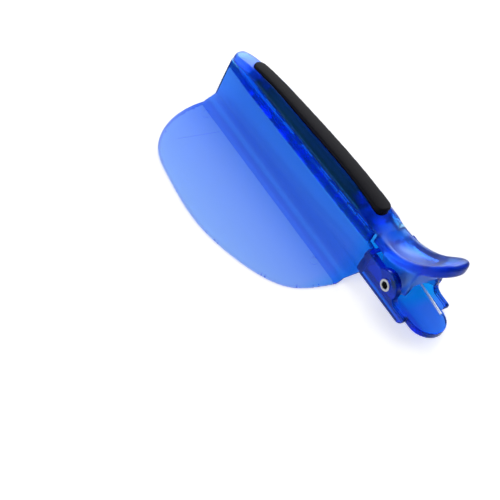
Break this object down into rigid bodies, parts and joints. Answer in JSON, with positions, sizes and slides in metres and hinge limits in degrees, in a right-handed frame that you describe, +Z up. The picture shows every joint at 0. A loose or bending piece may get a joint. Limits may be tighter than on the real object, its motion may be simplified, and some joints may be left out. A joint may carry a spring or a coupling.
{
  "type": "hair sectioning clip",
  "caption": "Hair sectioning clip with a toothed lower jaw, a rubber-lined upper jaw, a flat side wing and a sprung hinge.",
  "frame": {"origin": "bottom centre of the bounding box, on the table that the clip lies on", "axes": "+X along the clip from its nose to its thumb tab, +Z up from the table, +Y away from the wing"},
  "size_m": [0.1132, 0.055, 0.0312],
  "materials": {
    "blue_plastic": "glossy, slightly translucent moulded plastic",
    "black_rubber": "matt soft rubber",
    "rivet_metal": "bright",
    "spring_steel": "bright drawn wire"
  },
  "bodies": {
    "lower": {"lower_arm": "blue_plastic", "hinge_rivet": "rivet_metal", "spring_coil": "spring_steel"},
    "upper": {"upper_arm": "blue_plastic", "grip_pad": "black_rubber", "spring_arm_leg": "spring_steel"}
  },
  "joints": [
    {"name": "jaw_hinge", "type": "hinge", "parent": "lower", "child": "upper", "pos_m": [0.037, 0.01448, 0.00978], "axis": [0, 0.9205, -0.3907], "range_deg": [0, 35], "stiffness_Nm_per_rad": 0.15, "springref_deg": -34.38}
  ]
}
